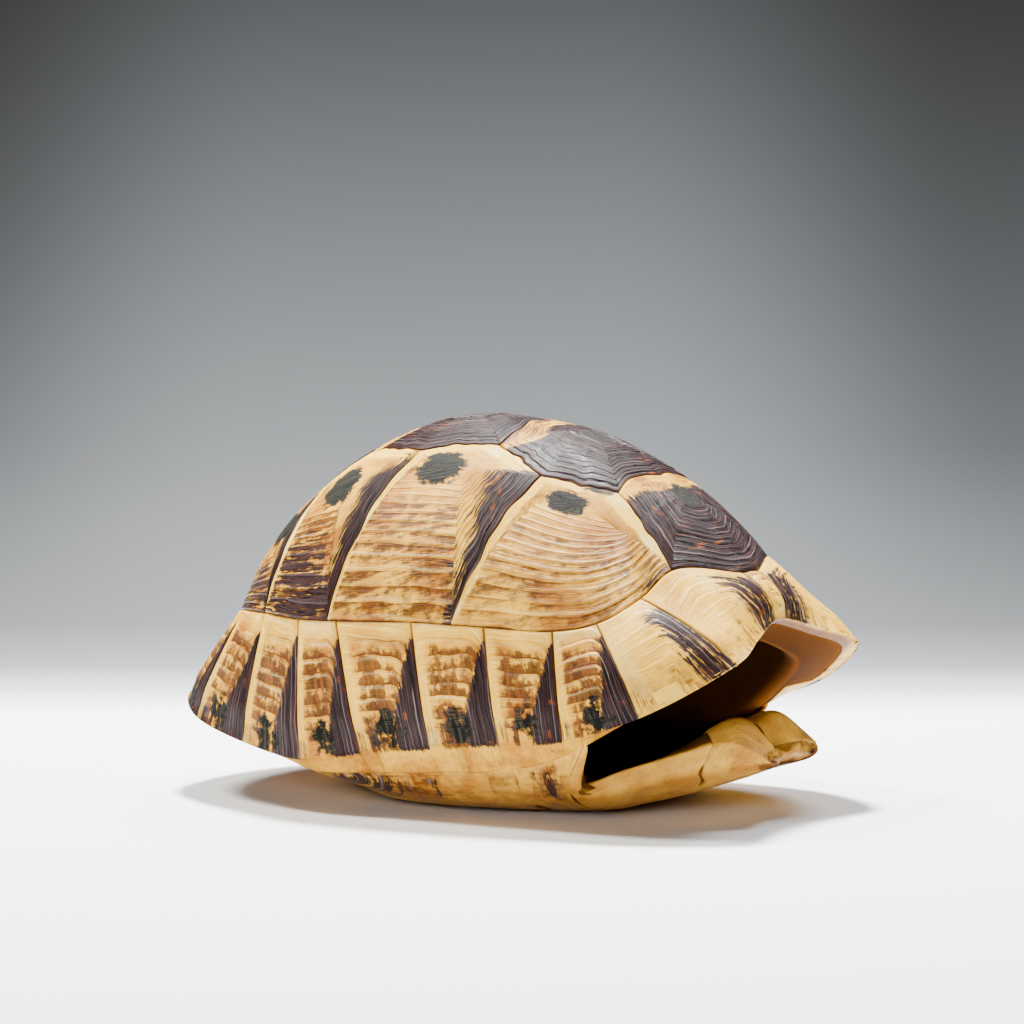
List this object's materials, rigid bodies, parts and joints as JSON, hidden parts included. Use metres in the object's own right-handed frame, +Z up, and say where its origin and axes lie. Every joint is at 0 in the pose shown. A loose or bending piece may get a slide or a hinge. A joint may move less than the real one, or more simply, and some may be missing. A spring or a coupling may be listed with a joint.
{
  "type": "turtle shell",
  "caption": "Empty shell of a Mediterranean tortoise: tall domed carapace, bridges and plastron grown together, horn scutes with growth ledges, open at the head, legs and tail.",
  "frame": {"origin": "middle of the bounding box, at the level of the flat underside that the shell rests on", "axes": "+X towards the head end, +Y the animal's left side, +Z up"},
  "size_m": [0.1928, 0.1288, 0.1121],
  "materials": {
    "horn": "semi-gloss keratin over bone, yellow ochre with dark purple-brown growth bands, worn"
  },
  "bodies": {
    "root": {"shell": "horn"}
  },
  "joints": []
}
